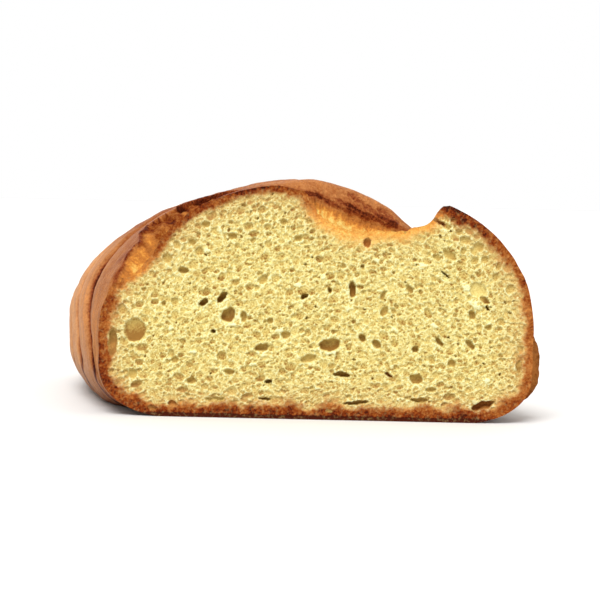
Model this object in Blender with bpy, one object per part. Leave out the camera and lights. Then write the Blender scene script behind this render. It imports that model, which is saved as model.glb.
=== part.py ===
"""The cut piece of a mustard loaf: an oval hearth loaf of yellow crumb, scored crosswise and sliced.

The sliced face looks towards -Y, and the loaf runs back from it along +Y, leaning to -X.
+Z is up. The origin is under the middle of the piece, on the table. Lengths are in metres.
"""

import math

import bmesh
import bpy
import numpy as np
from mathutils import Matrix, Vector

MM = 0.001

# The whole loaf, before it was scored and cut: a steep left side and a slumped right one
HALF_WIDTH_LEFT = 60.5 * MM
HALF_WIDTH_RIGHT = 66.0 * MM
HEIGHT = 67.0 * MM
MIDDLE_HEIGHT = 22.0 * MM
WIDEST_LEFT = 24.0 * MM
WIDEST_RIGHT = 20.5 * MM
BASE_SINK = 2.0 * MM
CROWN_ROUNDNESS_LEFT = 1.9
CROWN_ROUNDNESS_RIGHT = 1.44
SIDE_ROUNDNESS = 4.0
HALF_LENGTH = 118.0 * MM
MIDDLE_BEHIND_CUT = 12.0 * MM
PLAN_ROUNDNESS = 2.7
CROWN_LENGTH_ROUNDNESS = 1.8
BASE_LENGTH_ROUNDNESS = 5.0
LEAN = math.tan(math.radians(15.0))

# The band of crust in front of the first score, which lifted as an ear and stands upright
EAR_HALF_WIDTH = 61.3 * MM
EAR_ROUNDNESS = 2.5
EAR_FROM = -5.5 * MM
EAR_TO = -3.1 * MM

# The scores: slanting cuts that opened in the oven, counted from the sliced face
SCORES_AT_CROWN = [at * MM for at in (-2.7, 16.0, 38.0, 60.5, 82.0, 103.0)]
PITCH = 22.0 * MM
SCORE_SLANT = 17.3 * MM
SCORE_BEND = 3.0 * MM
SCORE_COSINE = 0.96
GROOVE_DEPTH = 4.6 * MM
GROOVE_WIDTH = 4.4 * MM
GROOVE_SQUARENESS = 2.8
SIDE_GROOVE_DEPTH = 1.4 * MM
SIDE_GROOVE_WIDTH = 1.7 * MM
FIRST_GROOVE_DEPTH = 7.6 * MM
PILLOW = 1.1 * MM
LIP_STEP = 0.8 * MM
LIP_AT = 0.8
SCORE_REACH = 92.0 * MM
SCORE_FADE = 12.0 * MM
OPEN_CENTRE = 5.0 * MM
FIRST_OPEN_CENTRE = 15.0 * MM
OPEN_REACH = 110.0 * MM

# The gentle unevenness of a hand-shaped loaf
SWELL = 0.5 * MM
SWELL_ROUND = 21.0 * MM
SWELL_TWIST = 37.0 * MM
SWELL_ALONG = 29.0 * MM
NOSE_FADE = 0.5

# The mesh before it is thinned out
GIRTH_STEPS = 170
LENGTH_STEPS = 120
CLOSER_AT_FRONT = 0.55
FRONT_ALLOWANCE = 6.0 * MM
KEPT_FACES = 0.23
SEAM_GAP = 0.02 * MM

# The largest bubbles in the sliced face: across, up, width, height in mm, and tilt in degrees
BUBBLES = [
    (4.6, 21.5, 6.6, 4.2, 0),
    (-49.5, 24.6, 6.6, 7.2, 0),
    (-55.9, 21.0, 2.6, 8.4, 0),
    (-23.3, 29.0, 4.2, 4.8, -15),
    (-30.2, 32.8, 2.9, 3.3, -30),
    (-25.0, 34.4, 2.2, 4.6, -45),
    (11.4, 37.4, 2.2, 5.2, 5),
    (15.4, 50.2, 2.6, 3.4, 0),
    (-2.4, 34.6, 2.0, 3.2, -35),
    (45.4, 38.0, 7.0, 6.0, -40),
    (39.4, 46.0, 6.0, 3.2, -42),
    (44.4, 50.6, 4.0, 3.0, -25),
    (57.6, 16.4, 1.9, 4.2, 0),
    (47.4, 5.4, 7.6, 2.4, 20),
    (28.7, 12.6, 4.3, 3.2, 0),
    (43.5, 22.0, 4.4, 2.4, -45),
    (44.6, 30.8, 2.2, 4.0, 20),
    (8.1, 13.2, 4.8, 1.8, 0),
    (-14.2, 20.0, 4.8, 2.8, 15),
    (-1.1, 17.8, 5.0, 2.4, 15),
]
BUBBLE_DEPTH = 0.45

# Where the middle of the sliced face stands in the frame
FACE_X = 6.34 * MM
FACE_Y = -65.0 * MM


def ramp(value, start, end):
    """0 before start, 1 after end, and smooth between."""
    t = np.clip((value - start) / (end - start), 0.0, 1.0)
    return t * t * (3.0 - 2.0 * t)


def bump(value, centre, reach):
    """A smooth hill of height 1 at centre, nearly 0 at reach."""
    return np.exp(-((2.0 * (value - centre) / reach) ** 2))


def half_outline(half_width, widest, roundness):
    """One side of the loaf's outline across, from the crown to under the middle.

    Gives the distance walked, how far out, how far above and how far below the widest height.
    """
    angle = np.linspace(0.0, math.pi / 2.0, 300)
    out_high = np.sin(angle) ** (2.0 / roundness)
    high = np.cos(angle) ** (2.0 / roundness)
    out_low = np.cos(angle) ** (2.0 / SIDE_ROUNDNESS)
    low = np.sin(angle) ** (2.0 / SIDE_ROUNDNESS)
    out = np.concatenate([out_high, out_low[1:]]) * half_width
    above = np.concatenate([high, 0.0 * low[1:]]) * (HEIGHT - widest)
    below = np.concatenate([0.0 * high, low[1:]]) * (widest + BASE_SINK)
    steps = np.hypot(np.diff(out), np.diff(above - below))
    return np.concatenate([[0.0], np.cumsum(steps)]), out, above, below


def outline_at(share, half_width, widest, roundness):
    """Reads a half outline at shares of its length, and gives the distance walked too."""
    walked, out, above, below = half_outline(half_width, widest, roundness)
    at = share * walked[-1]
    return [at] + [np.interp(at, walked, part) for part in (out, above, below)]


def length_profile():
    """The loaf's outline lengthways: distance walked, y behind the cut and three scales."""
    angle = np.linspace(-0.6, math.pi / 2.0, 600)
    q = np.sign(np.sin(angle)) * np.abs(np.sin(angle)) ** (2.0 / PLAN_ROUNDNESS)
    y = MIDDLE_BEHIND_CUT + q * HALF_LENGTH
    scales = [
        np.maximum(0.0, 1.0 - np.abs(q) ** power) ** (1.0 / power)
        for power in (PLAN_ROUNDNESS, CROWN_LENGTH_ROUNDNESS, BASE_LENGTH_ROUNDNESS)
    ]
    steps = np.hypot(np.diff(y), np.diff(scales[0]) * HALF_WIDTH_LEFT)
    walked = np.concatenate([[0.0], np.cumsum(steps)])
    walked -= np.interp(-FRONT_ALLOWANCE, y, walked)
    return walked, y, scales


def across_score(sideways, y):
    """Signed distance to the nearest score, positive behind it, and that score's number."""
    bend = SCORE_SLANT * sideways - SCORE_BEND * sideways**2
    apart = np.stack([(y - bend - at) * SCORE_COSINE for at in SCORES_AT_CROWN])
    number = np.argmin(np.abs(apart), axis=0)
    return np.take_along_axis(apart, number[None], axis=0)[0], number


def relief(girth, y, d, number):
    """How far the baked skin stands out from the plain loaf, along its normal."""
    first = number == 0
    open_top = bump(girth, OPEN_CENTRE, OPEN_REACH)
    depth = SIDE_GROOVE_DEPTH + GROOVE_DEPTH * open_top
    first_top = bump(girth, FIRST_OPEN_CENTRE, OPEN_REACH)
    depth = np.where(first, SIDE_GROOVE_DEPTH + FIRST_GROOVE_DEPTH * first_top, depth)
    reach = 1.0 - ramp(np.abs(girth), SCORE_REACH - SCORE_FADE, SCORE_REACH)
    width = SIDE_GROOVE_WIDTH + (GROOVE_WIDTH - SIDE_GROOVE_WIDTH) * open_top
    out = -depth * np.exp(-np.abs(d / width) ** GROOVE_SQUARENESS)
    lip = LIP_AT * width
    out -= LIP_STEP * open_top * (1.0 - ramp(np.abs(d), lip - 0.5 * MM, lip + 0.5 * MM))
    out -= PILLOW * np.maximum(0.0, 1.0 - 2.0 * np.abs(d) / PITCH) ** 2
    swell = np.sin(girth / SWELL_ROUND + y / SWELL_TWIST) * np.sin(y / SWELL_ALONG)
    return (out + SWELL * swell) * reach


def placed(side, sizes, profile):
    """Points of the loaf from a half outline, given how wide, high and deep it is there."""
    y, wide, high, deep = sizes
    out, above, below = profile
    from_middle = np.where(side < 0.0, WIDEST_LEFT, WIDEST_RIGHT) + above - below - MIDDLE_HEIGHT
    x = np.sign(side) * out * wide - LEAN * y
    z = MIDDLE_HEIGHT + from_middle * np.where(from_middle > 0.0, high, deep)
    return np.stack([x, y, z], axis=1)


def move_to(bm, points):
    """Moves every vertex to its new point."""
    for v, point in zip(bm.verts, points):
        v.co = point
    bm.normal_update()


def loaf_body():
    """The scored loaf from just before the cut to its nose, as a closed mesh."""
    walked, ys, scales = length_profile()
    bm = bmesh.new()
    bmesh.ops.create_grid(bm, x_segments=GIRTH_STEPS, y_segments=LENGTH_STEPS, size=1.0)
    grid = np.array([v.co for v in bm.verts])
    side = grid[:, 0]
    backward = (grid[:, 1] + 1.0) / 2.0
    station = backward * (1.0 - CLOSER_AT_FRONT * (1.0 - backward)) * walked[-1]
    sizes = [np.interp(station, walked, part) for part in (ys, *scales)]
    share = np.abs(side)
    left = outline_at(share, HALF_WIDTH_LEFT, WIDEST_LEFT, CROWN_ROUNDNESS_LEFT)
    right = outline_at(share, HALF_WIDTH_RIGHT, WIDEST_RIGHT, CROWN_ROUNDNESS_RIGHT)
    ear = outline_at(share, EAR_HALF_WIDTH, WIDEST_RIGHT, EAR_ROUNDNESS)
    girth, out, above, below = [np.where(side < 0.0, a, b) for a, b in zip(left, right)]
    girth = np.sign(side) * girth
    half_width = np.where(side < 0.0, HALF_WIDTH_LEFT, HALF_WIDTH_RIGHT)
    d, number = across_score(np.sign(side) * out / half_width, sizes[0])
    move_to(bm, placed(side, sizes, (out, above, below)))
    facing = np.array([v.normal for v in bm.verts])
    lifted = (1.0 - ramp(d, EAR_FROM, EAR_TO)) * (number == 0) * (side > 0.0)
    profile = [a + (b - a) * lifted for a, b in zip((out, above, below), ear[1:])]
    out_by = relief(girth, sizes[0], d, number) * ramp(sizes[1], 0.0, NOSE_FADE)
    move_to(bm, placed(side, sizes, profile) + facing * out_by[:, None])
    bmesh.ops.remove_doubles(bm, verts=bm.verts, dist=SEAM_GAP)
    bmesh.ops.holes_fill(bm, edges=bm.edges)
    bmesh.ops.recalc_face_normals(bm, faces=bm.faces)
    return bm


def new_object(name, bm):
    """Turns a bmesh into an object of that name."""
    mesh = bpy.data.meshes.new(name)
    bm.to_mesh(mesh)
    bm.free()
    obj = bpy.data.objects.new(name, mesh)
    bpy.context.scene.collection.objects.link(obj)
    return obj


def cutter(name, bm):
    """An object that only cuts others."""
    obj = new_object(name, bm)
    obj.hide_render = True
    obj.display_type = "WIRE"
    return obj


def block(low, high):
    """A box between two corners."""
    bm = bmesh.new()
    bmesh.ops.create_cube(bm, size=1.0)
    low, high = Vector(low), Vector(high)
    bmesh.ops.scale(bm, vec=high - low, verts=bm.verts)
    bmesh.ops.translate(bm, vec=(low + high) / 2.0, verts=bm.verts)
    return bm


def bubble_shells():
    """One closed egg for each large bubble, half sunk in the sliced face."""
    bm = bmesh.new()
    for across, up, width, height, tilt in BUBBLES:
        made = bmesh.ops.create_icosphere(bm, subdivisions=2, radius=0.5)
        size = Vector((width, 2.0 * BUBBLE_DEPTH * math.sqrt(width * height), height)) * MM
        turn = Matrix.Rotation(-math.radians(tilt), 4, "Y")
        shift = Matrix.Translation((across * MM, 0.0, up * MM))
        move = shift @ turn @ Matrix.Diagonal((*size, 1.0))
        bmesh.ops.transform(bm, matrix=move, verts=made["verts"])
    return bm


def cut_away(obj, tool, name):
    """Takes the tool's shape out of obj with a Boolean modifier."""
    cut = obj.modifiers.new(name, "BOOLEAN")
    cut.operation = "DIFFERENCE"
    cut.solver = "EXACT"
    cut.object = tool


def bread_material():
    """A plain baked-crust finish."""
    material = bpy.data.materials.new("baked_bread")
    material.use_nodes = True
    shader = material.node_tree.nodes["Principled BSDF"]
    shader.inputs["Base Color"].default_value = (0.58, 0.32, 0.13, 1.0)
    shader.inputs["Roughness"].default_value = 0.7
    shader.inputs["Metallic"].default_value = 0.0
    return material


def main():
    """Bakes the loaf, flattens its base, slices it and opens its largest bubbles."""
    for old in list(bpy.data.objects):
        bpy.data.objects.remove(old, do_unlink=True)
    loaf = new_object("loaf", loaf_body())
    loaf.data.materials.append(bread_material())
    thin = loaf.modifiers.new("fewer_faces", "DECIMATE")
    thin.ratio = KEPT_FACES
    far = 0.3
    table = cutter("table", block((-far, -far, -far), (far, far, 0.0)))
    knife = cutter("knife", block((-far, -far, -far), (far, 0.0, far)))
    bubbles = cutter("bubbles", bubble_shells())
    cut_away(loaf, table, "flat_base")
    cut_away(loaf, knife, "slice")
    cut_away(loaf, bubbles, "open_bubbles")
    for obj in (loaf, table, knife, bubbles):
        obj.location = (FACE_X, FACE_Y, 0.0)
    loaf.data.shade_smooth()
    loaf.data.set_sharp_from_angle(angle=math.radians(40.0))


main()
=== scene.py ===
# %% [markdown]
# # A cut mustard loaf
# This lesson dresses a solid loaf of bread. The solid gives the true size and the place on the table.
# Two fine meshes take its place: the baked crust, with its torn scores, and the sliced face, with
# its open yellow crumb. Each step first says what the thing is on a real loaf, then how to make it.

# %% Open the frame
import math

import bmesh
import bpy
import numpy as np
from mathutils import Matrix, Vector, kdtree, noise


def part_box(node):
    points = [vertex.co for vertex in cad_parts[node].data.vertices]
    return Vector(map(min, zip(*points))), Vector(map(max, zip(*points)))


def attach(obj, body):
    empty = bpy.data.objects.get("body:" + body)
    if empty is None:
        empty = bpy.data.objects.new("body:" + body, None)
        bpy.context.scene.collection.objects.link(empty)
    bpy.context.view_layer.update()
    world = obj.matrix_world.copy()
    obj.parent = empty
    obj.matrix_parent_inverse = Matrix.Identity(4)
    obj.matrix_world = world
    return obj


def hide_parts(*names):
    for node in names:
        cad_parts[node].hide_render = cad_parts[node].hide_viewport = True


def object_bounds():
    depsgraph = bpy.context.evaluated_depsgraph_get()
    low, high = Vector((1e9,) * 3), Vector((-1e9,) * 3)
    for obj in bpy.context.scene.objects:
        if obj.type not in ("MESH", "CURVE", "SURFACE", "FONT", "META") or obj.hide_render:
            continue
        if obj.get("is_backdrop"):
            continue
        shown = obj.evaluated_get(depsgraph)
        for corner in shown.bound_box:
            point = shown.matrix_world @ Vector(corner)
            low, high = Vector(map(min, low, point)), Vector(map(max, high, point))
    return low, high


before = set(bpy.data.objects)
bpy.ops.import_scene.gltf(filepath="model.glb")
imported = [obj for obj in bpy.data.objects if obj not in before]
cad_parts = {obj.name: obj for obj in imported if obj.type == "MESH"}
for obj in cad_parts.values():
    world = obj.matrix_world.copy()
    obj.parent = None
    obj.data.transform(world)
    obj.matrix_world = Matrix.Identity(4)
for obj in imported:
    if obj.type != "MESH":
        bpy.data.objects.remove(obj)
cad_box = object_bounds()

MM = 0.001
low_corner, high_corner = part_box("loaf")


def added(name, data):
    """Puts an object with that data into the scene."""
    obj = bpy.data.objects.new(name, data)
    bpy.context.scene.collection.objects.link(obj)
    return obj


print("the loaf measures, in mm:", [round(side / MM, 1) for side in high_corner - low_corner])

# %% [markdown]
# ## The camera
# The picture looks straight at the sliced face from a little above the table, through a long lens,
# and the camera leans slightly to one side. One pixel at the face is 0.278 mm, which fixes the lens.

# %% Place the camera
PICTURE = 600
PIXEL = 0.278 * MM
FACE_X = 6.34 * MM
FACE_Y = low_corner.y
FACE_PIXEL = (315, 420)
CAMERA_DISTANCE = 0.600
CAMERA_RISE = math.radians(3.6)
CAMERA_LEAN = math.radians(1.27)
SENSOR = 36.0

middle = PICTURE / 2
target = Vector((FACE_X + (middle - FACE_PIXEL[0]) * PIXEL, FACE_Y, (FACE_PIXEL[1] - middle) * PIXEL))
eye = target + CAMERA_DISTANCE * Vector((0.0, -1.0, math.tan(CAMERA_RISE)))
camera = added("camera", bpy.data.cameras.new("camera"))
camera.data.sensor_width = SENSOR
camera.data.lens = SENSOR * (eye - target).length / (PICTURE * PIXEL)
aim = (target - eye).to_track_quat("-Z", "Y").to_matrix().to_4x4()
camera.matrix_world = Matrix.Translation(eye) @ aim @ Matrix.Rotation(CAMERA_LEAN, 4, "Z")
bpy.context.scene.camera = camera
print("lens in mm:", round(camera.data.lens, 1))

# %% [markdown]
# ## Shader maths as plain expressions
# A node tree is easier to read as arithmetic. The class below wraps a socket, so that `a * b + 1`
# adds Math nodes, and one method makes any other node from its settings and its socket values.

# %% A socket that can be added and multiplied
class Wire:
    """A socket of a material, with Python's operators."""

    def __init__(self, tree, socket=None):
        self.tree = tree
        self.socket = socket

    def node(self, kind, settings=None, values=None, out=0):
        """Adds a node: its settings first, then the values or wires of its sockets."""
        made = self.tree.nodes.new("ShaderNode" + kind)
        for name, value in (settings or {}).items():
            if name == "stops":
                self.set_stops(made.color_ramp, value)
            else:
                setattr(made, name, value)
        for name, value in (values or {}).items():
            if isinstance(value, Wire):
                self.tree.links.new(value.socket, made.inputs[name])
            else:
                made.inputs[name].default_value = value
        return Wire(self.tree, made.outputs[out])

    @staticmethod
    def set_stops(ramp, stops):
        """Gives a colour ramp its places and colours."""
        while len(ramp.elements) < len(stops):
            ramp.elements.new(1.0)
        for element, (at, colour) in zip(ramp.elements, stops):
            element.position = at
            element.color = (*colour, 1.0)

    def math(self, operation, *others):
        values = dict(enumerate((self, *others)))
        return self.node("Math", {"operation": operation}, values)

    def __add__(self, other):
        return self.math("ADD", other)

    __radd__ = __add__

    def __mul__(self, other):
        return self.math("MULTIPLY", other)

    __rmul__ = __mul__

    def __sub__(self, other):
        return self.math("SUBTRACT", other)

    def __rsub__(self, other):
        return (self * -1.0) + other

    def into(self, socket):
        """Joins this wire to a shader's socket."""
        self.tree.links.new(self.socket, socket)

    def moved(self, by):
        """A place moved by a vector."""
        return self.node("VectorMath", {"operation": "ADD"}, {0: self, 1: by})

    def scaled(self, times):
        """A vector made longer or shorter."""
        return self.node("VectorMath", {"operation": "SCALE"}, {"Vector": self, "Scale": times})

    def squeezed(self, *scale):
        """A place with each axis scaled, which stretches the noise that is read there."""
        return self.node("Mapping", None, {"Vector": self, "Scale": scale})

    def along(self, axis):
        """One coordinate of a place."""
        return self.node("SeparateXYZ", None, {"Vector": self}, out=axis)

    def ramp(self, stops):
        """The colour at this wire's place between the stops."""
        return self.node("ValToRGB", {"stops": stops}, {"Fac": self})

    def clipped(self):
        """Held between 0 and 1."""
        return self.node("Clamp", None, {"Value": self})

    def step(self, start, end):
        """0 before start, 1 after end, and smooth between."""
        values = {"Value": self, "From Min": start, "From Max": end}
        return self.node("MapRange", {"interpolation_type": "SMOOTHSTEP"}, values)

    def mixed(self, first, second):
        """A colour from first to second, by this wire."""
        first, second = [end if isinstance(end, Wire) else (*end, 1.0) for end in (first, second)]
        return self.node("Mix", {"data_type": "RGBA"}, {0: self, 6: first, 7: second}, out=2)

    def read(self, name, out="Fac"):
        """A value kept on the mesh's points."""
        return self.node("Attribute", {"attribute_name": name}, out=out)

    def noise(self, size, detail=3.0, rough=0.5, out=0):
        """Soft noise from 0 to 1, read at this place, with lumps of that size in mm."""
        values = {"Vector": self, "Scale": 1.0 / (size * MM), "Detail": detail, "Roughness": rough}
        return self.node("TexNoise", None, values, out=out)

    def lumps(self, size, detail=3.0, rough=0.55):
        """The same noise round 0, from -0.5 to 0.5."""
        return self.noise(size, detail, rough) - 0.5


LIT = 1.32


def paint(red, green, blue):
    """The paint that looks like that screen colour, 0 to 255, under this studio's light."""
    return tuple((part / 255.0) ** 2.2 / LIT for part in (red, green, blue))


# %% A material and its starting wires
def new_material(name):
    """A material, its shader node and a wire to build from."""
    material = bpy.data.materials.new(name)
    material.use_nodes = True
    return material, material.node_tree.nodes["Principled BSDF"], Wire(material.node_tree)


# %% [markdown]
# ## The light
# Food on white is lit by big soft sources: here a slightly warm sky, brighter overhead, and one very
# wide sun in front. Cold light would turn brown skin purple where it is seen edge on. The camera sees
# plain white behind the table, and the plain Standard view keeps the yellow true.

# %% Light the table
SKY_AT_HORIZON = 0.39
SKY_OVERHEAD = 1.35
BACKDROP = 0.45
WARM_WHITE = (1.0, 0.965, 0.915)
SUN = 3.5
SUN_WIDTH = math.radians(32.0)
SUN_FROM = Vector((-0.16, -0.75, 0.90))

world = bpy.data.worlds.new("white_room")
world.use_nodes = True
bpy.context.scene.world = world
bpy.context.scene.view_settings.view_transform = "Standard"
sky = world.node_tree.nodes["Background"]
wire = Wire(world.node_tree)
direction = wire.node("TexCoord", out="Generated")
behind = direction.along("Y").step(0.1, 0.9)
overhead = direction.along("Z").clipped()
brightness = overhead * (SKY_OVERHEAD - SKY_AT_HORIZON) + SKY_AT_HORIZON + behind * BACKDROP
seen = wire.node("LightPath", out="Is Camera Ray")
(seen * (1.0 - brightness) + brightness).into(sky.inputs["Strength"])
seen.mixed(WARM_WHITE, (1.0, 1.0, 1.0)).into(sky.inputs["Color"])

sun = added("soft_sun", bpy.data.lights.new("soft_sun", "SUN"))
sun.data.energy = SUN
sun.data.angle = SUN_WIDTH
sun.matrix_world = SUN_FROM.to_track_quat("Z", "Y").to_matrix().to_4x4()
print("sun above the table by, in degrees:", round(math.degrees(math.asin(SUN_FROM.normalized().z))))

# %% [markdown]
# ## The floor
# A plain pale sheet, large enough to reach past the picture's edge.

# %% Lay the floor
FLOOR_SIZE = 3.0
PALE = (0.62, 0.62, 0.62, 1.0)

floor_mesh = bmesh.new()
bmesh.ops.create_grid(floor_mesh, x_segments=1, y_segments=1, size=FLOOR_SIZE)
floor = added("floor", bpy.data.meshes.new("floor"))
floor_mesh.to_mesh(floor.data)
floor_mesh.free()
floor_paint, floor_shader, _ = new_material("white_sheet")
floor_shader.inputs["Base Color"].default_value = PALE
floor_shader.inputs["Roughness"].default_value = 0.6
floor_shader.inputs["Specular IOR Level"].default_value = 0.1
floor.data.materials.append(floor_paint)
floor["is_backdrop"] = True

# %% [markdown]
# ## The loaf's own form
# A hearth loaf has no tin to shape it: a domed outline across, with one steep side and one slumped
# side, shrinks along its length to a rounded nose. The same rule and the same sizes as the solid's
# are used here, so that the fine skin lies where the solid's coarse one is.

# %% Smooth steps, hills and noise
def ramp(value, start, end):
    """0 before start, 1 after end, and smooth between."""
    t = np.clip((value - start) / (end - start), 0.0, 1.0)
    return t * t * (3.0 - 2.0 * t)


def ramp_mm(value, start, end):
    """A ramp over a length, with its ends in mm."""
    return ramp(value, start * MM, end * MM)


def plateau(value, rise, fall):
    """1 between two ramps and 0 outside them; each ramp is given by its ends in mm."""
    return ramp_mm(value, *rise) * (1.0 - ramp_mm(value, *fall))


def bump(value, centre, reach):
    """A smooth hill of height 1 at centre, nearly 0 at reach."""
    return np.exp(-((2.0 * (value - centre) / reach) ** 2))


def bump_mm(value, centre, reach):
    """A hill over a length, with centre and reach in mm."""
    return bump(value, centre * MM, reach * MM)


def noise_at(points, size, seed=0):
    """Noise from -1 to 1 with lumps of that size, read at each point."""
    shifted = np.asarray(points) / size + np.array([17.3, 5.1, 9.7]) * seed
    return np.array([noise.noise(point) for point in shifted.tolist()])


def walk(steps):
    """The distance walked from the start, 0 at first, then after each step."""
    return np.concatenate([[0.0], np.cumsum(steps)])


# %% Sizes of the loaf before it was scored and cut
HALF_WIDTH_LEFT = 60.5 * MM
HALF_WIDTH_RIGHT = 66.0 * MM
HEIGHT = 67.0 * MM
MIDDLE_HEIGHT = 22.0 * MM
WIDEST_LEFT = 24.0 * MM
WIDEST_RIGHT = 20.5 * MM
BASE_SINK = 2.0 * MM
CROWN_ROUNDNESS_LEFT = 1.9
CROWN_ROUNDNESS_RIGHT = 1.44
SIDE_ROUNDNESS = 4.0
HALF_LENGTH = 118.0 * MM
MIDDLE_BEHIND_CUT = 12.0 * MM
PLAN_ROUNDNESS = 2.7
CROWN_LENGTH_ROUNDNESS = 1.8
BASE_LENGTH_ROUNDNESS = 5.0
LEAN = math.tan(math.radians(15.0))
print("the whole loaf was, in mm:", round(2.0 * HALF_LENGTH / MM), "long")


# %% The outline across
def outline_at(share, half_width, widest, roundness):
    """One side of the outline from the crown down, read at shares of its length: walked, out, up, down."""
    angle = np.linspace(0.0, math.pi / 2.0, 300)
    high, low = 2.0 / roundness, 2.0 / SIDE_ROUNDNESS
    out = np.concatenate([np.sin(angle) ** high, np.cos(angle[1:]) ** low]) * half_width
    above = np.concatenate([np.cos(angle) ** high, 0.0 * angle[1:]]) * (HEIGHT - widest)
    below = np.concatenate([0.0 * angle, np.sin(angle[1:]) ** low]) * (widest + BASE_SINK)
    walked = walk(np.hypot(np.diff(out), np.diff(above - below)))
    at = share * walked[-1]
    return [at] + [np.interp(at, walked, part) for part in (out, above, below)]


# %% The outline along: distance walked from the cut, y behind the cut and three scales
angle = np.linspace(-0.6, math.pi / 2.0, 900)
q = np.sign(np.sin(angle)) * np.abs(np.sin(angle)) ** (2.0 / PLAN_ROUNDNESS)
ys = MIDDLE_BEHIND_CUT + q * HALF_LENGTH
scales = [
    np.maximum(0.0, 1.0 - np.abs(q) ** power) ** (1.0 / power)
    for power in (PLAN_ROUNDNESS, CROWN_LENGTH_ROUNDNESS, BASE_LENGTH_ROUNDNESS)
]
walked = walk(np.hypot(np.diff(ys), np.diff(scales[0]) * HALF_WIDTH_LEFT))
walked -= np.interp(0.0, ys, walked)
print("from the cut to the far end, in mm:", round(ys[-1] / MM))


def placed(side, sizes, profile):
    """Points of the loaf from a half outline, given how wide, high and deep it is there."""
    y, wide, high, deep = sizes
    out, above, below = profile
    from_middle = np.where(side < 0.0, WIDEST_LEFT, WIDEST_RIGHT) + above - below - MIDDLE_HEIGHT
    x = np.sign(side) * out * wide - LEAN * y
    z = MIDDLE_HEIGHT + from_middle * np.where(from_middle > 0.0, high, deep)
    return np.stack([x, y, z], axis=1)


# %% [markdown]
# ## Where the scores lie
# Slanting cuts made before baking tear open in the oven. They cross the crown at a slant, sweep back
# down the left side and wander a little, as blade and dough both do. The solid has their main lines.
# Each point of the skin belongs to its nearest score, and the second, the widest, counts as nearer.

# %% The lines of the scores
SCORES_AT_CROWN = [at * MM for at in (-2.7, 16.0, 38.0, 60.5, 82.0, 103.0)]
PITCH = 22.0 * MM
SCORE_SLANT = 17.3 * MM
SCORE_BEND = 3.0 * MM
SCORE_COSINE = 0.96
SCORE_PULL = np.array([1.0, 0.75, 1.0, 1.0, 1.0, 1.0])
WANDER = 1.0 * MM
WANDER_LUMPS = 6.0 * MM
LEFT_SWEEP = (
    (-160, 0), (-125, 0), (-104, -8), (-93, -10.2), (-86, -6), (-77.5, 2.6), (-70.5, 9.4), (-62, 12.8),
    (-50, 10.8), (-34, 5.4), (-18, 1.2), (-6, 0), (160, 0),
)
SWEEP_SOFTNESS = 13


def wander(girth, station):
    """How far each tear strays from its line, and 0 half way between two tears."""
    points = np.stack([girth, station * 0.2, 0.0 * girth], axis=1)
    coarse, fine = noise_at(points, WANDER_LUMPS), noise_at(points, WANDER_LUMPS / 3.5)
    near = sum(bump(station, at, PITCH * 0.45) for at in SCORES_AT_CROWN)
    return (WANDER * coarse + 0.8 * WANDER * fine) * near


def swept_back(girth):
    """The long curve of the scores down the left side, with its corners rounded off."""
    at, back = np.array(LEFT_SWEEP).T * MM
    even = np.arange(-160.0, 161.0) * MM
    soft = np.hanning(SWEEP_SOFTNESS)
    smooth = np.convolve(np.interp(even, at, back), soft / soft.sum(), mode="same")
    return np.interp(girth, even, smooth)


def bend(sideways, girth, station):
    """How far behind its crown a score lies, out to the side."""
    swept = swept_back(girth) * plateau(station, (20.0, 38.0), (84.0, 108.0))
    return SCORE_SLANT * sideways - SCORE_BEND * sideways**2 + swept


def nearest_score(station):
    """Distance to the nearest score, positive behind it, and that score's number."""
    apart = np.stack([(station - at) * SCORE_COSINE for at in SCORES_AT_CROWN])
    number = np.argmin(np.abs(apart) * SCORE_PULL[:, None], axis=0)
    return np.take_along_axis(apart, number[None], axis=0)[0], number


# %% [markdown]
# ## A net of faces that crowds where it matters
# A grid laid round the loaf would waste its faces on the smooth skin. So the rows follow the slant
# of the scores and crowd at each tear, and the columns crowd on the sides that are seen.

# %% Rows and columns
FINE_ROW = 0.25 * MM
FINE_ROW_BEHIND = 0.42 * MM
FINE_BAND = 10.0 * MM
WIDE_LIP_ROWS = 26.5 * MM
WIDE_LIP_BAND = 9.0 * MM
COARSE_ROW = 1.0 * MM
FIRST_ROW = -17.0 * MM
ROWS_STRAIGHTEN = (96.0, 126.0)
COLUMNS = 380
SIDE_SHARE = 0.70
SIDE_COLUMNS = 0.93
SEAM = (98.0, 118.0)

at = np.linspace(np.interp(FIRST_ROW, ys, walked), walked[-1], 4000)
y = np.interp(at, walked, ys)
density = np.full(len(at), 1.0 / COARSE_ROW)
for number, crown in enumerate(SCORES_AT_CROWN):
    fine = FINE_ROW if number < 3 else FINE_ROW_BEHIND
    density = np.maximum(density, bump(y, crown, FINE_BAND) / fine)
density = np.maximum(density, bump(y, WIDE_LIP_ROWS, WIDE_LIP_BAND) / (1.6 * FINE_ROW))
rows = walk(density[1:] * np.diff(at))
stations = np.interp(np.arange(int(rows[-1]) + 1) / int(rows[-1]) * rows[-1], rows, at)
print("rows:", len(stations), "columns:", COLUMNS, "faces:", len(stations) * COLUMNS)

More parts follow.
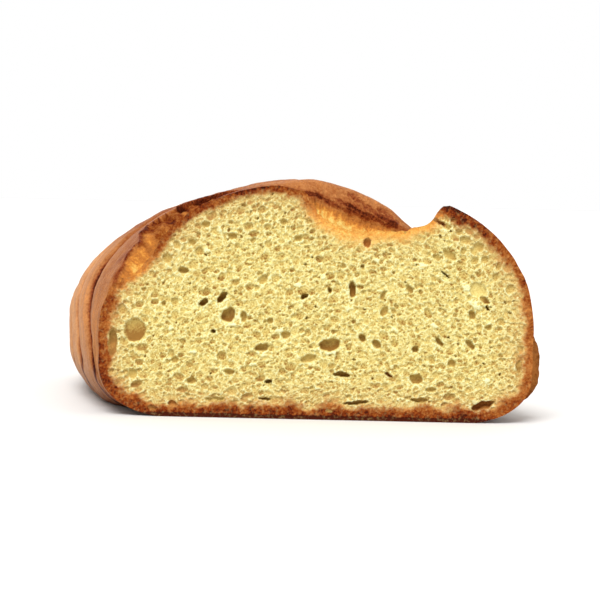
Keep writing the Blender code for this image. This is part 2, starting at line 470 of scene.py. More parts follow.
# %% Bend a grid round the plain loaf
bm = bmesh.new()
bmesh.ops.create_grid(bm, x_segments=COLUMNS, y_segments=len(stations) - 1, size=1.0)
grid = np.array([v.co for v in bm.verts])
share = np.interp(np.abs(grid[:, 0]), [0.0, SIDE_COLUMNS, 1.0], [0.0, SIDE_SHARE, 1.0])
side = np.sign(grid[:, 0]) * share
row = np.rint((grid[:, 1] + 1.0) / 2.0 * (len(stations) - 1)).astype(int)
station = np.interp(stations[row], walked, ys)
left = outline_at(share, HALF_WIDTH_LEFT, WIDEST_LEFT, CROWN_ROUNDNESS_LEFT)
right = outline_at(share, HALF_WIDTH_RIGHT, WIDEST_RIGHT, CROWN_ROUNDNESS_RIGHT)
girth, out, above, below = [np.where(side < 0.0, a, b) for a, b in zip(left, right)]
girth = np.sign(side) * girth
half_width = np.where(side < 0.0, HALF_WIDTH_LEFT, HALF_WIDTH_RIGHT)
slant = bend(np.sign(side) * out / half_width, girth, station)
straying = wander(girth, station) * (1.0 - ramp_mm(np.abs(girth), *SEAM))
y = station + (slant + straying) * (1.0 - ramp_mm(station, *ROWS_STRAIGHTEN))
sizes = [y] + [np.interp(y, ys, part) for part in scales]
d, number = nearest_score(y - slant - straying)
along = y - slant
for v, point in zip(bm.verts, placed(side, sizes, (out, above, below))):
    v.co = point
bm.normal_update()
facing = np.array([v.normal for v in bm.verts])
print("net of points:", len(bm.verts))

# %% [markdown]
# ## The raised ear
# In front of the first score the skin tore free and stood up: the ear, which gives the face its sharp
# step on the right. There, and only in front of the tear, the outline changes over to a fuller one.

# %% Raise the ear in front of the first score
EAR_HALF_WIDTH = 61.3 * MM
EAR_ROUNDNESS = 2.5
EAR_FROM = -3.6 * MM
EAR_TO = -2.2 * MM
EAR_NEARER_BELOW = 3.0 * MM
EAR_LEANS = 0.3
EAR_RISE = (
    (27, 0), (29, 0.05), (30.5, 0.1), (32, 0.16), (33.5, 0.28), (34.5, 0.45), (35, 0.62), (35.4, 0.85),
    (36.3, 1),
)

ear = outline_at(share, EAR_HALF_WIDTH, WIDEST_RIGHT, EAR_ROUNDNESS)
ear_girth, ear_share = np.array(EAR_RISE).T
lifted = np.interp(girth - EAR_LEANS * np.maximum(y, 0.0), ear_girth * MM, ear_share)
nearer = EAR_NEARER_BELOW * ramp_mm(girth, 68.0, 86.0)
lifted *= (1.0 - ramp(d + nearer, EAR_FROM, EAR_TO)) * (number == 0)
profile = [a + (b - a) * lifted for a, b in zip((out, above, below), ear[1:])]
print("points on the ear:", int((lifted > 0.5).sum()))

# %% [markdown]
# ## How each score tears
# The skin ends at each tear in a thin dark lip, and the floor between the lips is paler, stringy
# bread. The tears are wide on the crown and close to thin dark lines on the sides. The first, under
# the raised ear, has a steep front wall; the second gapes on its far side, on the left shoulder.

# %% Where each point lies among the scores
SCORES_END = (86.0, 98.0)
WIDE_TEAR_AT = -41.0 * MM
WIDE_TEAR_REACH = 34.0 * MM

scored = 1.0 - ramp_mm(np.abs(girth), *SCORES_END)
above_seam = 1.0 - ramp_mm(np.abs(girth), *SEAM)
low_left = ramp_mm(-girth, 46.0, 70.0) * (number > 1)
far_wall = bump_mm(d, 2.6, 2.8) * low_left
widened = bump(girth, WIDE_TEAR_AT, WIDE_TEAR_REACH) * (number == 1) * (d > 0.0)
front = (number == 0) & (d < 0.0)
print("points by the wide tear:", int((widened > 0.5).sum()), "in front of the first:", int(front.sum()))

# %% Depth, width and lips of the tears
GROOVE_DEPTH = 4.6 * MM
GROOVE_WIDTH = 4.4 * MM
SIDE_GROOVE_DEPTH = 1.8 * MM
SIDE_GROOVE_WIDTH = 1.7 * MM
FIRST_GROOVE_DEPTH = 7.6 * MM
LEFT_GROOVE_WIDER = 1.3 * MM
LEFT_GROOVE_DEEPER = 0.7 * MM
LIP_AT = 0.8
WIDE_TEAR = 8.5 * MM
FRONT_WALL = 4.6 * MM
FRONT_LIP = 4.9 * MM

open_top = bump_mm(girth, 5.0, 110.0)
first_top = bump_mm(girth, 11.0, 42.0)
deepest = np.where(number == 0, FIRST_GROOVE_DEPTH * first_top, GROOVE_DEPTH * open_top)
depth = SIDE_GROOVE_DEPTH + deepest + LEFT_GROOVE_DEEPER * low_left
width = SIDE_GROOVE_WIDTH + (GROOVE_WIDTH - SIDE_GROOVE_WIDTH) * open_top
width += LEFT_GROOVE_WIDER * low_left
line = np.stack([girth, 0.0 * girth, 0.0 * girth], axis=1)
ragged = 1.0 + 0.26 * np.tanh(4.0 * noise_at(line, 3.2 * MM, 5)) + 0.24 * noise_at(line, 1.5 * MM, 6)
lip = np.where(front, FRONT_LIP, LIP_AT * width + WIDE_TEAR * widened * ragged)
width = np.where(front, width * (FRONT_WALL / GROOVE_WIDTH), width)
torn = (1.0 - ramp(np.abs(d), lip - 0.35 * MM, lip + 0.05 * MM)) * scored
print("share of the points on torn floors:", round((torn > 0.5).mean(), 2))

# %% [markdown]
# ## How the skin stands out or in
# Between the tears the skin puffs up into pillows, and at each lip it curls over. It sags behind the
# ear and behind the crown, and swells at the heel on the left. On the right, just behind the cut, a
# flap of crust stands off the edge: a narrow channel, a bulge behind it, and a tuck below.

# %% Grooves, lips and pillows
GROOVE_SQUARENESS = 2.8
FRONT_SQUARENESS = 3.0
LIP_STEP = 0.8 * MM
WIDE_LIP_STEP = 1.0 * MM
LIP_RISE = 0.45 * MM
PILLOW = 1.1 * MM
SWELL = 0.5 * MM
SWELL_ROUND = 21.0 * MM
SWELL_TWIST = 37.0 * MM
SWELL_ALONG = 29.0 * MM

squareness = np.where(front, FRONT_SQUARENESS, GROOVE_SQUARENESS)
relief = -depth * np.exp(-np.abs(d / width) ** squareness)
step = LIP_STEP * open_top + WIDE_LIP_STEP * widened
relief -= step * (1.0 - ramp(np.abs(d), lip - 0.25 * MM, lip + 0.15 * MM))
relief -= PILLOW * np.maximum(0.0, 1.0 - 2.0 * np.abs(d) / PITCH) ** 2
relief += LIP_RISE * open_top * bump(np.abs(d), lip + 0.5 * MM, 1.2 * MM)
swell = np.sin(girth / SWELL_ROUND + y / SWELL_TWIST) * np.sin(y / SWELL_ALONG)
relief = (relief + SWELL * swell) * scored
print("deepest groove in mm:", round(-relief.min() / MM, 1))

# %% Flap, shoulder, heel and crown
FLAP_GIRTH = 93.0 * MM
FLAP_REACH = 24.0 * MM
FLAP_CHANNEL = 0.6 * MM
FLAP_BULGE = 0.6 * MM
FLAP_TUCK = 0.9 * MM
UNDER_FLAP = 1.8 * MM
SHOULDER_DROP = 2.4 * MM
HEEL = 2.2 * MM
CROWN_DROP = 0.9 * MM

flap = FLAP_BULGE * bump_mm(y, 6.0, 7.0) - FLAP_CHANNEL * bump_mm(y, 0.9, 1.8)
flap *= bump(girth, FLAP_GIRTH, FLAP_REACH)
tuck = FLAP_TUCK * ramp_mm(girth, 74.0, 82.0) + UNDER_FLAP * ramp_mm(girth, 89.0, 107.0)
tuck *= (1.0 - ramp_mm(girth, 110.0, 124.0)) * plateau(y, (0.5, 4.0), (26.0, 60.0))
shoulder = SHOULDER_DROP * bump_mm(girth, 37.0, 20.0) * bump_mm(y, 13.0, 16.0)
heel = HEEL * bump_mm(girth, -108.0, 13.0) * plateau(y, (8.0, 34.0), (84.0, 108.0))
crown = CROWN_DROP * bump_mm(girth, -18.0, 25.0) * plateau(y, (6.0, 22.0), (66.0, 96.0))
relief += flap - tuck - shoulder + heel - crown
print("deepest tuck below the flap, in mm:", round(tuck.max() / MM, 1))

# %% [markdown]
# ## Strings, blisters and crumbs on the skin
# The torn floors are drawn out in strings across the tear, most of all in the second. The skin is
# blistered in small soft lumps and wrinkled round the loaf, and the flap's edge is crumbly.

# %% Press in the scores and roughen the skin
NOSE_FADE = 0.5
STRINGS = 1.0 * MM
STRINGS_OF_SCORE = np.array([0.18, 2.0, 1.0, 1.0, 1.0, 1.0])
LIP_CURL = 0.5 * MM
BLISTERS = 0.26 * MM
SMALL_BLISTERS = 0.10 * MM
WRINKLES = 0.30 * MM
CRUMBLY = 0.45 * MM

nose = ramp(sizes[1], 0.0, NOSE_FADE)
torn *= nose
stringy = np.stack([girth, 0.6 * d, 40.0 * MM * number], axis=1)
crinkle = noise_at(stringy, 2.8 * MM, 1) + 0.7 * np.abs(noise_at(stringy, 1.5 * MM, 2)) - 0.15
strings = STRINGS * np.maximum(open_top, 0.25) * torn * crinkle * STRINGS_OF_SCORE[number]
plain = placed(side, sizes, profile)
wrinkled = np.stack([0.16 * girth, along, 0.0 * y], axis=1)
crumbly = bump(girth, FLAP_GIRTH, FLAP_REACH) * plateau(y, (0.6, 2.0), (12.0, 20.0))
blister = BLISTERS * noise_at(plain, 4.5 * MM, 3)
blister += SMALL_BLISTERS * np.abs(noise_at(plain, 1.8 * MM, 4))
blister += WRINKLES * noise_at(wrinkled, 3.6 * MM, 7)
blister += CRUMBLY * crumbly * noise_at(plain, 1.7 * MM, 9)
out_by = relief * nose + (strings + blister * nose * (1.0 - torn)) * above_seam
points = plain + facing * out_by[:, None]
points[:, 1] -= LIP_CURL * open_top * nose * bump(d, lip + 0.3 * MM, 1.0 * MM)
for v, point in zip(bm.verts, points):
    v.co = point
print("the skin stands out by, in mm:", np.round(np.percentile(out_by / MM, (0, 50, 100)), 1))

# %% [markdown]
# ## How well baked each spot is
# One value from 0 to 1 says how brown the bread is: pale in a fresh tear, orange where it is deeper
# or older, brown on the skin, and nearly black-red at the lips, which stood up into the heat. Each
# line of the list below says how much browner, or paler, and where; a few are painted shade, light and
# sheen.

# %% How brown the skin is
SKIN_BAKE = 0.57
SLOW_WAVE = 31.0 * MM
LIP_BAKE = np.array([0.18, 0.30, 0.27, 0.27, 0.27, 0.27])

_, behind_cut, height = points.T
left = ramp_mm(-girth, 45.0, 62.0) * above_seam
flap = bump(girth, FLAP_GIRTH, 1.3 * FLAP_REACH)
lips = bump(np.abs(d), lip + 0.15 * MM, 1.1 * MM) * np.maximum(open_top, 0.85)
spots = (
    (0.05, np.sin(along / SLOW_WAVE)),  # slow waves along the loaf
    (-0.14, left),  # the pale left side: less baked, and painted sheen
    (0.05, left * (1.0 - ramp_mm(behind_cut, 2.0, 22.0))),  # the left side near the face
    (-0.07, left * plateau(along, (42.0, 66.0), (80.0, 105.0))),  # further back on the left, paler: painted sheen where it is seen edge on
    (0.12, bump_mm(girth, -60.0, 30.0) * bump_mm(along, 24.0, 18.0)),  # the pillow by the wide tear
    (0.07, ramp_mm(girth, 10.0, 60.0) * above_seam),  # the right side
    (0.10, bump_mm(girth, -35.0, 40.0)),  # the left shoulder
    (0.24, 1.0 - ramp_mm(height, 1.0, 12.0)),  # darker low down by the table: painted shade
    (0.10, ramp_mm(behind_cut, 92.0, 122.0)),  # the far end
    (0.16, bump_mm(girth, -24.0, 22.0) * (1.0 - ramp_mm(behind_cut, 1.0, 6.0))),  # the crown at the cut
    (0.52, flap * bump_mm(behind_cut, 3.6, 1.4)),  # the channel beside the flap, darker: painted shade
    (-0.40, flap * bump_mm(behind_cut, 6.8, 2.6)),  # the flap's thin edge, paler: painted light on its shaded side
    (LIP_BAKE[number], lips),  # the lips, which caught the heat
    (0.08, bump(np.abs(d), lip + 0.6 * MM, 3.0 * MM) * open_top),  # the skin round the lips
    (0.36, far_wall * above_seam),  # the far walls of the grooves low on the left
)
bake = SKIN_BAKE + sum(browner * where for browner, where in spots)

# %% How brown the torn floors are: the first is freshest, and tears that closed are darkest
to_lip = ramp(np.abs(d) / lip, 0.45, 1.05)
first = 0.04 + np.where(d > 0.0, 0.52, 0.30) * to_lip + 0.34 * ramp_mm(girth, 34.0, 56.0)
first += 0.12 * ramp_mm(behind_cut, 1.5, 6.0)
# the second floor is darker towards its lip and its upper end: painted shade under the overhanging lip,
# over its own bake
second = 0.16 + 0.56 * ramp_mm(girth, -66.0, -38.0) + 0.24 * to_lip
others = 0.30 + 0.25 * to_lip
closed = 0.86 + 0.14 * bump_mm(girth, -91.0, 7.0)
narrow = 0.30 * ramp_mm(-girth, 50.0, 75.0) * (number > 1)
floor_bake_and_shade = np.where(number == 0, first, np.where(number == 1, second, others))
floor_bake_and_shade = closed + (floor_bake_and_shade - closed) * ramp(open_top, 0.05 + narrow, 0.30 + narrow)
floor_bake_and_shade -= np.where(number > 0, 0.28, 0.08) * crinkle
print("bake of the torn floors, in the middle:", round(np.median(floor_bake_and_shade[torn > 0.5]), 2))

# %% Bake, and a painted sheen that makes the skin paler, most on the far left
FAR_END_BAKE = 0.64
SHEEN_PAINT = 0.12
SHEEN_PAINT_FAR_LEFT = 0.28

bake += (floor_bake_and_shade - bake) * torn
bake = FAR_END_BAKE + (bake - FAR_END_BAKE) * nose
far_left = ramp_mm(-girth, 45.0, 62.0) * plateau(along, (34.0, 60.0), (88.0, 112.0))
# painted sheen: the skin is mixed towards a pale colour, most on the far left, where it is seen edge on
dry = SHEEN_PAINT + SHEEN_PAINT_FAR_LEFT * far_left * (1.0 - far_wall)
dry *= (1.0 - bump(girth, FLAP_GIRTH, 1.5 * FLAP_REACH)) * (1.0 - torn) * above_seam
print("bake from", round(bake.min(), 2), "to", round(bake.max(), 2))

# %% Keep the values on the points, then cut the base flat and slice the loaf
kept = {"bake": bake, "torn": torn, "side": nose, "dry": dry}
layers = [(bm.verts.layers.float.new(name), values) for name, values in kept.items()]
place_layer = bm.verts.layers.float_vector.new("place")
for at, v in enumerate(bm.verts):
    for layer, values in layers:
        v[layer] = values[at]
    v[place_layer] = (girth[at], along[at], 0.0)


def cut_flat(bm, facing):
    """Cuts a mesh through the frame's corner and throws away the side that facing points to."""
    everything = bm.verts[:] + bm.edges[:] + bm.faces[:]
    bmesh.ops.bisect_plane(
        bm, geom=everything, dist=1e-7, plane_co=(0.0, 0.0, 0.0), plane_no=facing, clear_outer=True
    )


bmesh.ops.remove_doubles(bm, verts=bm.verts, dist=0.01 * MM)
cut_flat(bm, (0.0, 0.0, -1.0))
cut_flat(bm, (0.0, -1.0, 0.0))
print("points left after the cuts:", len(bm.verts))

# %% [markdown]
# ## The rim of the slice
# The knife leaves a clean edge all round the face. Its points are walked in order, since the crumb is
# fitted to them, and each keeps its distance round the loaf, which says how thick and brown the crust
# is there. Behind the rim the skin turns in and closes as a shallow pocket, which near the thin ear
# draws in towards the ear's own middle, to stay inside the loaf.

# %% Close the base and read the rim
FLAT = 1e-6


def open_at(bm, axis):
    """The open edges that lie in the plane through 0 across an axis."""
    return [e for e in bm.edges if e.is_boundary and all(abs(v.co[axis]) < FLAT for v in e.verts)]


def walk_loop(edges):
    """The points of a closed loop of edges, in order."""
    after = {}
    for e in edges:
        for v in e.verts:
            after.setdefault(v, []).append(e)
    start = edges[0].verts[0]
    loop, v, e = [start], edges[0].verts[1], edges[0]
    while v != start:
        loop.append(v)
        e = next(other for other in after[v] if other != e)
        v = e.other_vert(v)
    return loop


corners = [v for v in bm.verts if v.co.z < FLAT and v.co.y < FLAT and v.is_boundary]
if not bm.edges.get(corners):
    bm.edges.new(corners)
base_edges = {*open_at(bm, 2), bm.edges.get(corners)}
bmesh.ops.contextual_create(bm, geom=list(base_edges))
rim_edges = open_at(bm, 1)
rim_loop = walk_loop(rim_edges)
print("corners:", len(corners), "rim points:", len(rim_loop))

# %% Turn the skin in behind the face and close it
FACE_HEART = Vector((3.0 * MM, 0.0, 30.0 * MM))
EAR_MIDDLE = Vector((43.0 * MM, 0.0, 54.0 * MM))
EAR_HEART = Vector((44.0 * MM, 0.0, 48.0 * MM))
EAR_AROUND = (13.0, 27.0)
TUCKED_STEP = 0.6
TUCKED_SHRINK = 0.26
POCKET_END = 9.5 * MM
FACE_PLACE = Vector((FACE_X, FACE_Y, 0.0))


def turned_in(bm, edges, back, shrink, tuck, ear_heart):
    """Pulls a loop of edges back and in, towards the face's heart or the ear's."""
    made = bmesh.ops.extrude_edge_only(bm, edges=edges)["geom"]
    for part in made:
        if isinstance(part, bmesh.types.BMVert):
            from_ear = math.hypot(part.co.x - EAR_MIDDLE.x, part.co.z - EAR_MIDDLE.z)
            near = 1.0 - float(ramp_mm(from_ear, *EAR_AROUND))
            heart = FACE_HEART.lerp(ear_heart, near)
            step = back * (1.0 - TUCKED_STEP * tuck * near)
            away = (part.co - heart) * (shrink - TUCKED_SHRINK * tuck * near)
            part.co = (heart.x + away.x - LEAN * step, part.co.y + step, heart.z + away.z)
    return [part for part in made if isinstance(part, bmesh.types.BMEdge) and part.is_boundary]


def pocketed(bm, edges, back, shrink):
    """Closes a body behind the face with a pocket that stays inside the loaf."""
    edges = turned_in(bm, edges, back, shrink, 0.20, EAR_HEART)
    edges = turned_in(bm, edges, 6.0 * MM, 0.88, 1.0, EAR_HEART)
    edges = turned_in(bm, edges, 0.0, 0.90, 1.0, FACE_HEART)
    for v in {v for e in edges for v in e.verts}:
        v.co.y = POCKET_END
    bmesh.ops.holes_fill(bm, edges=edges)
    bmesh.ops.recalc_face_normals(bm, faces=bm.faces)


rim_points = np.array([v.co for v in rim_loop])
rim_girths = np.array([v[place_layer].x for v in rim_loop])
for edge in rim_edges:
    edge.smooth = False
pocketed(bm, rim_edges, 1.3 * MM, 0.985)


def finished(name, bm):
    """Puts a mesh in its place in the frame and counts its triangles."""
    bmesh.ops.translate(bm, vec=FACE_PLACE, verts=bm.verts)
    for v in bm.verts:
        v.co = np.clip(v.co, low_corner, high_corner)
    open_edges = sum(1 for e in bm.edges if not e.is_manifold)
    triangles = sum(len(f.verts) - 2 for f in bm.faces)
    mesh = bpy.data.meshes.new(name)
    bm.to_mesh(mesh)
    bm.free()
    mesh.shade_smooth()
    print(name, "triangles:", triangles, "open edges:", open_edges)
    return added(name, mesh)


crust = finished("crust", bm)

# %% [markdown]
# ## The sliced face
# The knife opens the crumb: a soft sponge of bubbles from half a millimetre to seven across. A flat
# sheet with a bump texture would look painted, so the face is a fine grid whose points are pressed
# in, bubble by bubble. First comes the grid, cut to the rim.

# %% A grid over the face, and how far each point is from the rim
NET = 0.275 * MM
RIM_STEP = 0.08 * MM


def resampled(loop, girths, step):
    """The closed loop as points at even steps, with the girth of each."""
    closed = np.vstack([loop, loop[:1]])
    walked = walk(np.linalg.norm(np.diff(closed, axis=0), axis=1))
    at = np.arange(0.0, walked[-1], step)
    spread = [np.interp(at, walked, part) for part in (*closed.T, np.append(girths, girths[0]))]
    return np.stack(spread[:3], axis=1), spread[3]


rim, rim_girths = resampled(rim_points, rim_girths, RIM_STEP)
tangent = np.roll(rim, -1, axis=0) - np.roll(rim, 1, axis=0)
turn = np.sum(rim[:, 0] * np.roll(rim[:, 2], -1) - rim[:, 2] * np.roll(rim[:, 0], -1))
outward = np.stack([tangent[:, 2], -tangent[:, 0]], axis=1) * np.sign(turn)
tree = kdtree.KDTree(len(rim))
for at, point in enumerate(rim):
    tree.insert(point, at)
tree.balance()

face_low, face_high = rim.min(axis=0), rim.max(axis=0)
columns = int((face_high[0] - face_low[0]) / NET) + 1
rows = int((face_high[2] - face_low[2]) / NET) + 1
across, up = NET * np.arange(columns + 1), NET * np.arange(rows + 1)
net_x, net_z = np.meshgrid(face_low[0] + across, face_low[2] + up)
net_points = np.stack([net_x.ravel(), net_z.ravel(), 0.0 * net_x.ravel()], axis=1)
nearest = np.array([tree.find((x, 0.0, z))[1] for x, z, _ in net_points.tolist()]).reshape(net_x.shape)
away = np.stack([net_x - rim[nearest, 0], net_z - rim[nearest, 2]], axis=-1)
from_rim = -np.sign(np.sum(away * outward[nearest], axis=-1)) * np.linalg.norm(away, axis=-1)
print("grid over the face:", net_x.shape, "width in mm", round((face_high[0] - face_low[0]) / MM, 1))

# %% [markdown]
# ## Bubbles
# Each bubble is a bowl pressed into the face. Where two bowls meet, the deeper one wins, which leaves
# the thin sharp walls of real crumb. The holes that the eye picks out are listed one by one. The rest
# are thrown like darts, pinholes first and then from large to small, and a dart that would land on a
# hole is left out, as dough keeps a wall between its bubbles. They lean down to the right on the
# slumped side and lie flat above the base, as the dough was drawn. Each bubble's floor is painted
# darker towards its lower side: painted shade. Stains are toasted spots. Flaps are torn walls that
# stand up, painted lighter: painted highlight.

# %% The holes, listed: across, up, width, height in mm, tilt, depth in mm and sometimes tone
HOLES = [
    (-50, 23.9, 6.9, 7.4, 0, 1.4, 1.05), (-56.1, 20.4, 2.8, 9.2, 0, 1.8, 1),
    (-24, 28.7, 3.9, 4.9, -25, 2.3, 0.7), (-25.8, 33.6, 4.4, 1.9, 45, 3), (-31, 32.1, 3.1, 2, 50, 2.8),
    (-41.9, 31.6, 1.7, 1.7, 0, 1.2), (-19.8, 28.2, 1.9, 3.3, 10, 1.6), (-38.7, 15.8, 2.5, 2.5, 0, 1.2),
    (-28.1, 23.9, 1.4, 1.3, 0, 2.2), (-27.1, 5, 6.4, 1.9, 0, 1.2), (-39, 3.6, 3.3, 2.2, -20, 1.8),
    (-44.8, 2.1, 2.8, 1.7, -15, 1.6), (-50.3, 11.7, 3.3, 3.3, 0, 1.2), (-23.4, 12.8, 2.8, 1.9, 0, 1.4),
    (-33.9, 10.1, 3.3, 1.9, -10, 1.5), (4.3, 20.9, 6.6, 4.3, 8, 2.3, 0.76),
    (-14.6, 19.7, 4.7, 2.6, 15, 2), (-1.5, 16.9, 5.3, 2.3, 15, 1.4), (-8, 23.5, 3.3, 2.8, 10, 1.5),
    (-12.3, 27.3, 1.9, 1.9, 0, 1.2), (7.8, 12.7, 5.3, 1.6, -5, 2.8), (28.7, 12, 4.2, 3.3, -10, 1.8, 0.55),
    (13.4, 23.1, 3.1, 2.3, -40, 1.9), (17.6, 21.3, 3.1, 2.3, -35, 1.7), (20.9, 13, 2.2, 1, -20, 2),
    (-12.5, 10.3, 2.5, 1.1, 0, 2.6), (-3, 34.4, 2.5, 1.7, 45, 2.6), (3.9, 36, 1.5, 2, 10, 2.2),
    (10.3, 36.7, 2.3, 5.4, 0, 2.4, 0.8), (-13.5, 5.3, 3.6, 0.9, 0, 2.2), (12.1, 5, 8, 1.1, 3, 2.4),
    (29.6, 5.9, 5.6, 1.7, 0, 1.8), (4.7, 2.4, 3.1, 1.3, 0, 1.2), (47.5, 4.9, 7.6, 2.3, 22, 3),
    (57.2, 16, 1.8, 4, 0, 1.6), (45.3, 37.2, 5.8, 4.6, -40, 1, 0.1),
    (47.4, 34.4, 3.4, 2.2, -45, 1.5, 0.6), (43.8, 30.2, 2.2, 2.8, 20, 1.6),
    (43.5, 21.8, 4, 1.9, -55, 1.8), (34.8, 22.5, 3.3, 1.7, -50, 1.9), (38.6, 16.4, 2.8, 2.4, -20, 1.4),
    (32.9, 9.1, 3.6, 1.4, 0, 1.2), (48.4, 26.7, 2.2, 1.9, 0, 1.1), (41.4, 51, 3.4, 2.6, -15, 1),
    (37.1, 46.7, 5, 2.5, -35, 1.3), (36.1, 54.8, 2.9, 1.8, -20, 1), (32.7, 56.4, 3.1, 1.4, -20, 1.3),
    (50, 40.9, 1.9, 2.5, 0, 0.9), (43.9, 47.8, 2.3, 2.2, 0, 0.9), (40.9, 47.9, 2.2, 1.9, 0, 0.9),
    (39.4, 53.2, 2.3, 1.8, 0, 0.9), (33.5, 46.1, 2.8, 2.2, -30, 1.1), (26.2, 37, 3.8, 1.8, -50, 1.4),
    (19, 35.2, 3.3, 1.7, 60, 1.2), (19.3, 30.7, 3.3, 2.2, 60, 1.3), (14.2, 49.8, 2.3, 3.2, 0, 2.2),
    (13.2, 42.8, 1.4, 1.7, 0, 1.3), (-14.5, 38.9, 3.1, 2.7, 30, 1.2), (-9.3, 54.9, 2.2, 1.9, 0, 1.1),
    (-5, 50.5, 2.5, 1.9, 0, 1.2), (-36.8, 40.9, 3.2, 2.4, 10, 1.8), (-23.4, 50.7, 2.6, 2.2, 0, 1.3),
    (-30.7, 53.8, 2.3, 1.7, 0, 1.2), (-34.5, 48.7, 2.6, 2.2, 0, 1.2), (-20.2, 59.4, 2, 1.3, 0, 1),
    (28.2, 20.4, 1.9, 1.9, 0, 1.9), (45.1, 49.1, 3.4, 2.8, -10, 1.1), (44.2, 45.4, 2.4, 2.4, 0, 0.9),
    (47, 45.8, 2, 2.4, 0, 0.9), (50.7, 43.9, 1.8, 2.4, 0, 0.9), (54.2, 37.6, 2.6, 2.8, 20, 0.9),
    (36.1, 41.3, 3.9, 0.6, -42, 2.4), (47.9, 32, 2, 0.9, -50, 2.6), (34.6, 55.6, 2.6, 1.3, -20, 1.6),
    (38.2, 56.3, 1.9, 1.2, -10, 1.2),
]
STAINS = [
    (14.2, 49.6, 1.6, 0.76), (20.9, 13, 1.2, 0.72), (34.6, 55.6, 1.5, 0.86), (38.2, 56.3, 1.2, 0.74),
    (32.7, 56.4, 1.4, 0.8), (47.5, 4.9, 3, 0.66), (-44.8, 2.1, 1.6, 0.66), (-39, 3.6, 1.8, 0.5),
]
FLAPS = [
    (4.8, 18.6, 3.4, 0.9, 6), (-22.6, 26.2, 2.2, 0.8, 10), (-26.8, 52.6, 1.9, 1.6, 0),
    (-30.2, 46.6, 2.4, 1.1, 15), (29.9, 43.8, 3.2, 2.2, -15), (41.6, 38, 3.4, 1.6, -35),
    (-4.5, 37.4, 2.4, 1.2, 20), (44.6, 33, 5.4, 1.7, -36), (48, 28.4, 2.4, 1.2, -30),
    (9.5, 31.4, 2.2, 1.5, 0), (2.5, 39.8, 2.6, 1.2, 0), (17, 44.8, 2.4, 1.3, -20),
    (-9.6, 24.8, 2.2, 1.4, 10), (-33.5, 18.5, 2, 1.3, 0), (-40, 24.5, 2.2, 1.2, 20),
    (22.4, 25.5, 2.6, 1.3, -30), (33.4, 27, 2.2, 1.4, -20), (-18.6, 43.6, 2, 1.2, 10),
    (48.5, 12, 2.2, 1.4, 0), (1, 9, 2.4, 1.1, 0), (-16.5, 15, 2.2, 1.2, 0), (24.4, 6.2, 2.4, 1, 0),
]
HAND_WALL = 0.35
STRAY = 0.28 * MM
EDGE_SOFT = 0.22
LOW_SHADE = 0.9
TAKEN = 0.92


def net_noise(size, seed):
    """Noise over the whole face, with lumps of that size in mm."""
    return noise_at(net_points, size * MM, seed).reshape(net_x.shape)


def stray_at(seed):
    """A gentle random shift of the whole face, so that no bubble is a perfect oval."""
    return STRAY * (1.5 * net_noise(3.4, seed) + net_noise(1.2, seed + 1))


bent_x = net_x + stray_at(20)
bent_z = net_z + stray_at(30)
pressed = np.zeros(net_x.shape)
taken = np.zeros(net_x.shape, bool)
shaded = np.zeros(net_x.shape)


def cell_at(x, z):
    """The row and the column of the net at a place."""
    return int(max(0, (z - face_low[2]) / NET)), int(max(0, (x - face_low[0]) / NET))


def bowl(x, z, width, height, tilt):
    """The part of the net round a bubble, and how far each point is from its middle: 1 at its edge."""
    reach = 0.5 * max(width, height) + 3.0 * STRAY
    ends = zip(cell_at(x - reach, z - reach), cell_at(x + reach, z + reach))
    window = tuple(slice(first, last + 2) for first, last in ends)
    right, up = bent_x[window] - x, bent_z[window] - z
    cosine, sine = math.cos(math.radians(tilt)), math.sin(math.radians(tilt))
    along, aside = right * cosine + up * sine, up * cosine - right * sine
    return window, np.hypot(along / (0.5 * width), aside / (0.5 * height))


def press(x, z, width, height, tilt, depth, wall, tone):
    """Presses one bubble into the face, and keeps the painted shade of its floor."""
    window, out = bowl(x, z, width, height, tilt)
    round_floor = np.sqrt(np.maximum(0.0, 1.0 - out**2))
    inside = 1.0 - ramp(out, 1.0 - EDGE_SOFT, 1.0)
    # painted shade: the floor darker towards the bubble's lower side, lighter towards its upper side
    tone = tone * np.clip(1.0 - LOW_SHADE * (bent_z[window] - z) / (0.5 * height), 0.05, 1.9)
    shape = (wall + (1.0 - wall) * round_floor) * inside
    deeper = depth * shape > pressed[window]
    shaded[window] = np.where(deeper, tone * inside, shaded[window])
    pressed[window] = np.maximum(pressed[window], depth * shape)
    taken[window] |= out < TAKEN


for x, z, width, height, tilt, depth, *own_tone in HOLES:
    # tone: the painted shade of the hole's floor, darker for deeper holes
    tone = own_tone[0] if own_tone else 0.18 + 0.10 * depth
    press(x * MM, z * MM, width * MM, height * MM, tilt, depth * MM, HAND_WALL, tone)
print("holes by hand:", len(HOLES), "share of the face:", round(taken[from_rim > 0].mean(), 3))

# %% The bubbles thrown as darts
BUBBLE_SIZES = [
    (150, 0.5, 1), (500, 2.2, 3), (1400, 1.6, 2.3), (2600, 1.1, 1.6), (9000, 0.75, 1.1),
    (26000, 0.45, 0.75),
]
DRAW = np.random.default_rng(12)
WALL_SHARE = (0.05, 0.08, 0.10, 0.12, 0.18, 0.22)
PINHOLE_DEPTH = 0.8 * MM
SMALL = 1.5


def stretch_at(x, z):
    """How the dough was drawn out there: the tilt in degrees and the length over the width."""
    slumped = ramp_mm(x, -8.0, 34.0) * ramp_mm(z, 8.0, 20.0)
    rising = bump_mm(x, -20.0, 60.0) * ramp_mm(z, 16.0, 34.0)
    flat = 1.0 - ramp_mm(z, 4.0, 16.0)
    return -42.0 * slumped + 22.0 * rising, 1.10 + 0.30 * slumped + 0.10 * rising + 0.7 * flat


def packed_at(x, z):
    """How packed the larger bubbles are: most under the ear and in the low left corner."""
    ear = bump_mm(x, 44.0, 26.0) * ramp_mm(z, 38.0, 48.0)
    corner = bump_mm(x, -48.0, 20.0) * (1.0 - ramp_mm(z, 10.0, 22.0))
    elsewhere = 0.52 - 0.27 * ramp_mm(x, -22.0, 8.0)
    return elsewhere + (1.0 - elsewhere) * max(ear, corner)


